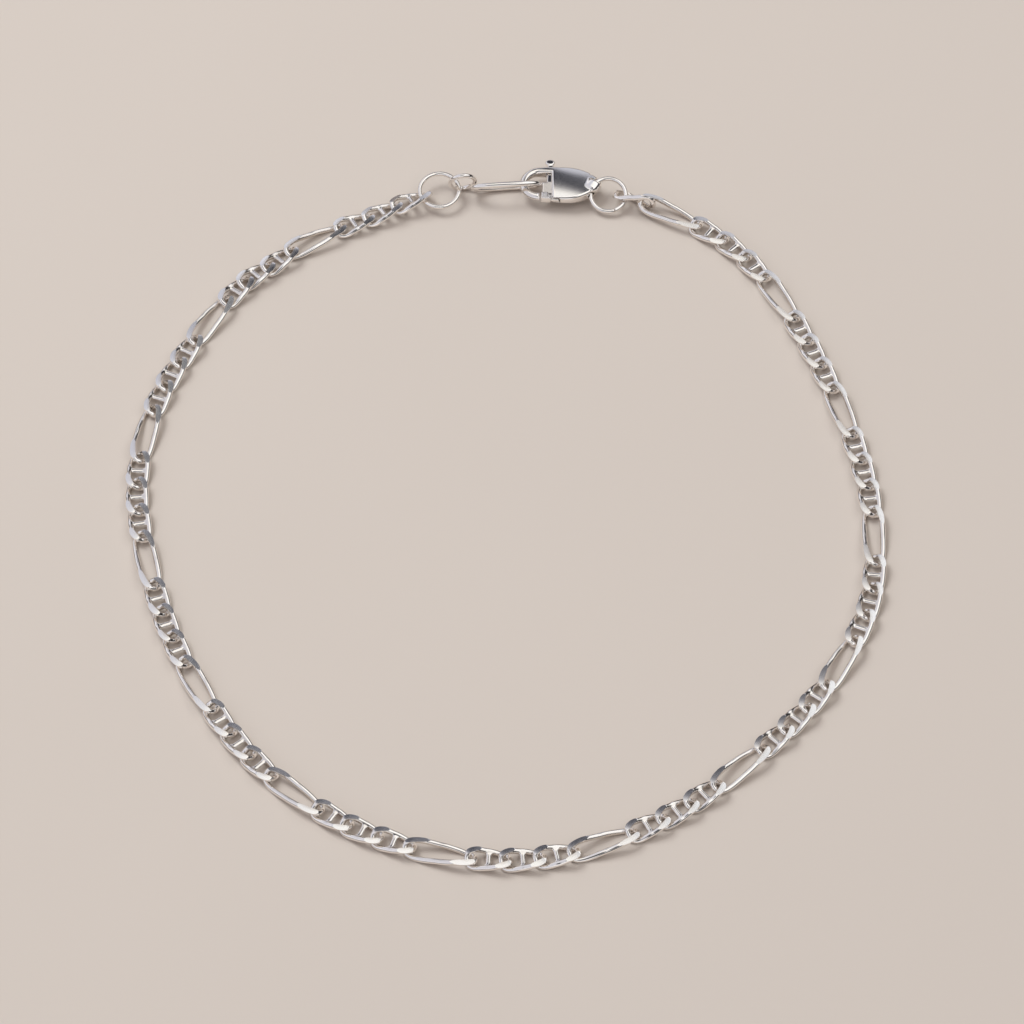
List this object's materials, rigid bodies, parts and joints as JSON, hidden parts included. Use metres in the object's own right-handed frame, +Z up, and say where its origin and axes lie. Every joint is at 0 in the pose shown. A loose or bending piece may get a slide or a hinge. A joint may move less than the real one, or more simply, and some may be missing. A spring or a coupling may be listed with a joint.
{
  "type": "figaro chain anklet",
  "caption": "Fine figaro chain anklet in polished silver metal, laid down closed as a loop, with a lobster clasp hooked on a long end link.",
  "frame": {"origin": "middle of the laid loop, on the surface that it lies on", "axes": "+X to the right and +Y away from the viewer towards the clasp, both along the surface; +Z up"},
  "size_m": [0.0782, 0.0889, 0.0032],
  "materials": {
    "chain_silver": "polished silver, the links' top and bottom filed flat",
    "clasp_silver": "polished cast silver, softly brushed on its crown"
  },
  "bodies": {
    "anklet": {"chain_ring_half": "chain_silver", "chain_clasp_half": "chain_silver", "end_link": "chain_silver", "jump_ring": "chain_silver", "adjuster_ring": "chain_silver", "clasp_ring": "chain_silver", "clasp_body": "clasp_silver"},
    "lever": {"clasp_lever": "clasp_silver"}
  },
  "joints": [
    {"name": "lever_hinge", "type": "hinge", "parent": "anklet", "child": "lever", "pos_m": [0.00615, 0.03949, 0.00136], "axis": [0, 0, -1], "range_deg": [0, 26], "stiffness_Nm_per_rad": 0.002, "springref_deg": -11.46}
  ]
}
